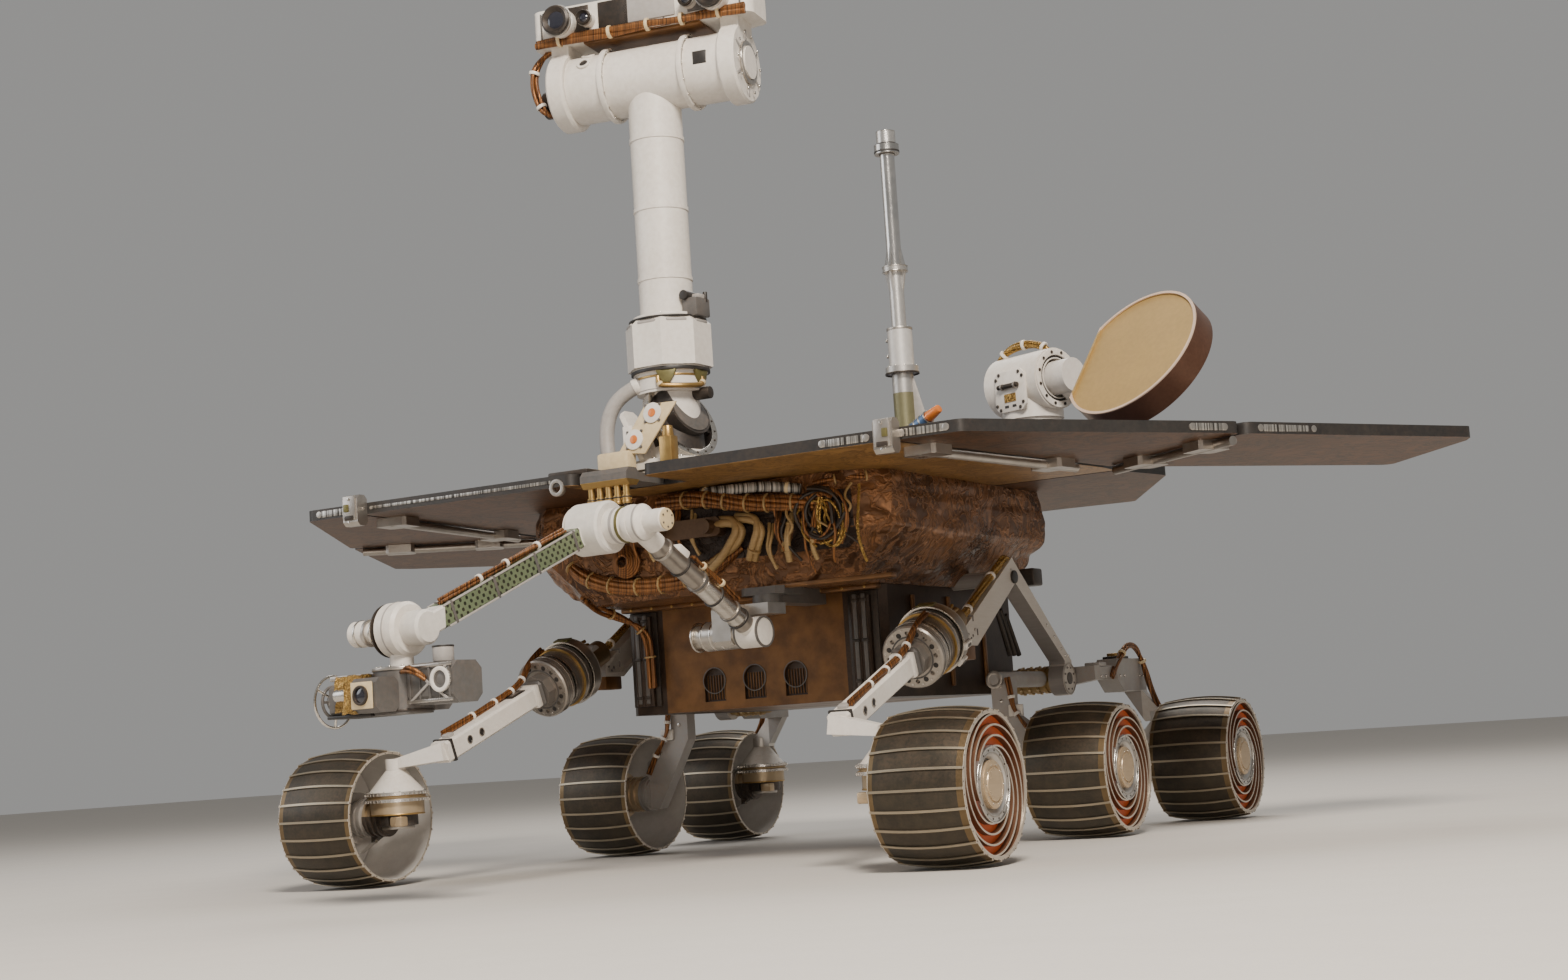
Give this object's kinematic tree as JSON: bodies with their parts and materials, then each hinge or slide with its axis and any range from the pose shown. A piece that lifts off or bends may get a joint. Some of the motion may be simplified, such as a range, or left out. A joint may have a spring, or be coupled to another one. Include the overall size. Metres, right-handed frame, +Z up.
{
  "type": "planetary rover",
  "caption": "Wheeled planetary rover with a solar deck, camera mast, pointable dish, folding instrument arm and rocker suspension.",
  "frame": {"origin": "on the ground, halfway along the rover and across it", "axes": "+X to the rover's left, -Y to its front, +Z up"},
  "size_m": [2.466, 1.9598, 1.574],
  "materials": {
    "thermal_panel": "foil covered",
    "thermal_blanket": "crinkled foil",
    "solar_panel": "dark top, brown foil below",
    "white_paint": "satin white",
    "grey_paint": "satin pale grey",
    "bare_alloy": "satin",
    "wheel_alloy": "worn, dark anodised",
    "coated_tube": "green coat",
    "instrument_black": "black anodised",
    "brass_plugs": "plated",
    "dish_face": "tan gold"
  },
  "bodies": {
    "rover": {"bogie_left": "bare_alloy", "bogie_right": "bare_alloy", "connector_block": "brass_plugs", "deck_core": "solar_panel", "dish_base": "white_paint", "front_arm_left": "bare_alloy", "front_arm_right": "bare_alloy", "hazard_cameras_front": "instrument_black", "hazard_cameras_rear": "instrument_black", "low_gain_mast": "white_paint", "lower_body": "thermal_panel", "mast_foot": "white_paint", "rocker_left": "grey_paint", "rocker_right": "grey_paint", "shoulder_mount": "bare_alloy", "tail_panel": "solar_panel", "upper_body": "thermal_blanket", "wing_front_left": "solar_panel", "wing_front_right": "solar_panel", "wing_hinges_left": "bare_alloy", "wing_hinges_right": "bare_alloy", "wing_rear_left": "solar_panel", "wing_rear_right": "solar_panel"},
    "steer_front_left": {"knuckle_front_left": "bare_alloy"},
    "steer_front_right": {"knuckle_front_right": "bare_alloy"},
    "steer_rear_left": {"knuckle_rear_left": "bare_alloy"},
    "steer_rear_right": {"knuckle_rear_right": "bare_alloy"},
    "wheel_front_left": {"wheel_front_left": "wheel_alloy"},
    "wheel_front_right": {"wheel_front_right": "wheel_alloy"},
    "wheel_middle_left": {"wheel_middle_left": "wheel_alloy"},
    "wheel_middle_right": {"wheel_middle_right": "wheel_alloy"},
    "wheel_rear_left": {"wheel_rear_left": "wheel_alloy"},
    "wheel_rear_right": {"wheel_rear_right": "wheel_alloy"},
    "arm_turn": {"shoulder_yaw": "bare_alloy"},
    "arm_upper": {"upper_arm": "bare_alloy"},
    "arm_fore": {"forearm": "coated_tube"},
    "arm_wrist": {"wrist": "white_paint"},
    "arm_turret": {"turret": "instrument_black"},
    "mast_turn": {"mast_tube": "white_paint"},
    "mast_head": {"camera_head": "white_paint"},
    "dish_turn": {"dish_gimbal": "white_paint"},
    "dish_disc": {"dish": "dish_face"}
  },
  "joints": [
    {"name": "steer_front_left", "type": "hinge", "parent": "rover", "child": "steer_front_left", "pos_m": [0.5, -0.396, 0.125], "axis": [0, 0, 1], "range_deg": [-35, 35]},
    {"name": "steer_rear_left", "type": "hinge", "parent": "rover", "child": "steer_rear_left", "pos_m": [0.478, 0.855, 0.125], "axis": [0, 0, 1], "range_deg": [-35, 35]},
    {"name": "spin_front_left", "type": "hinge", "parent": "steer_front_left", "child": "wheel_front_left", "pos_m": [0.596, -0.396, 0.125], "axis": [1, 0, 0], "continuous": true},
    {"name": "spin_middle_left", "type": "hinge", "parent": "rover", "child": "wheel_middle_left", "pos_m": [0.519, 0.352, 0.125], "axis": [1, 0, 0], "continuous": true},
    {"name": "spin_rear_left", "type": "hinge", "parent": "steer_rear_left", "child": "wheel_rear_left", "pos_m": [0.574, 0.855, 0.125], "axis": [1, 0, 0], "continuous": true},
    {"name": "steer_front_right", "type": "hinge", "parent": "rover", "child": "steer_front_right", "pos_m": [-0.5, -0.396, 0.125], "axis": [0, 0, 1], "range_deg": [-35, 35]},
    {"name": "steer_rear_right", "type": "hinge", "parent": "rover", "child": "steer_rear_right", "pos_m": [-0.478, 0.855, 0.125], "axis": [0, 0, 1], "range_deg": [-35, 35]},
    {"name": "spin_front_right", "type": "hinge", "parent": "steer_front_right", "child": "wheel_front_right", "pos_m": [-0.596, -0.396, 0.125], "axis": [1, 0, 0], "continuous": true},
    {"name": "spin_middle_right", "type": "hinge", "parent": "rover", "child": "wheel_middle_right", "pos_m": [-0.519, 0.352, 0.125], "axis": [1, 0, 0], "continuous": true},
    {"name": "spin_rear_right", "type": "hinge", "parent": "steer_rear_right", "child": "wheel_rear_right", "pos_m": [-0.574, 0.855, 0.125], "axis": [1, 0, 0], "continuous": true},
    {"name": "arm_yaw", "type": "hinge", "parent": "rover", "child": "arm_turn", "pos_m": [0.14, -0.134, 0.42], "axis": [0, 0, 1], "range_deg": [-55, 80]},
    {"name": "arm_shoulder", "type": "hinge", "parent": "arm_turn", "child": "arm_upper", "pos_m": [0.1359, -0.1808, 0.405], "axis": [0.9962, -0.0872, 0], "range_deg": [-6, 45]},
    {"name": "arm_elbow", "type": "hinge", "parent": "arm_upper", "child": "arm_fore", "pos_m": [0.1082, -0.4973, 0.5826], "axis": [-0.9962, 0.0872, 0], "range_deg": [-105, 95]},
    {"name": "arm_wrist", "type": "hinge", "parent": "arm_fore", "child": "arm_wrist", "pos_m": [0.0725, -0.9056, 0.417], "axis": [0.9962, -0.0872, 0], "range_deg": [-170, 45]},
    {"name": "turret_turn", "type": "hinge", "parent": "arm_wrist", "child": "arm_turret", "pos_m": [-0.0623, -0.8938, 0.33], "axis": [0, 0, 1], "range_deg": [-175, 175]},
    {"name": "mast_turn", "type": "hinge", "parent": "rover", "child": "mast_turn", "pos_m": [0, -0.185, 0.888], "axis": [0, 0, 1], "range_deg": [-175, 175]},
    {"name": "head_pitch", "type": "hinge", "parent": "mast_turn", "child": "mast_head", "pos_m": [0, -0.185, 1.426], "axis": [0.9848, 0.1736, 0], "range_deg": [-104, 104]},
    {"name": "dish_turn", "type": "hinge", "parent": "rover", "child": "dish_turn", "pos_m": [0.466, 0.352, 0.787], "axis": [0, 0, 1], "range_deg": [-170, 170]},
    {"name": "dish_tilt", "type": "hinge", "parent": "dish_turn", "child": "dish_disc", "pos_m": [0.466, 0.352, 0.857], "axis": [0.9336, -0.3584, 0], "range_deg": [-90, 60]}
  ]
}
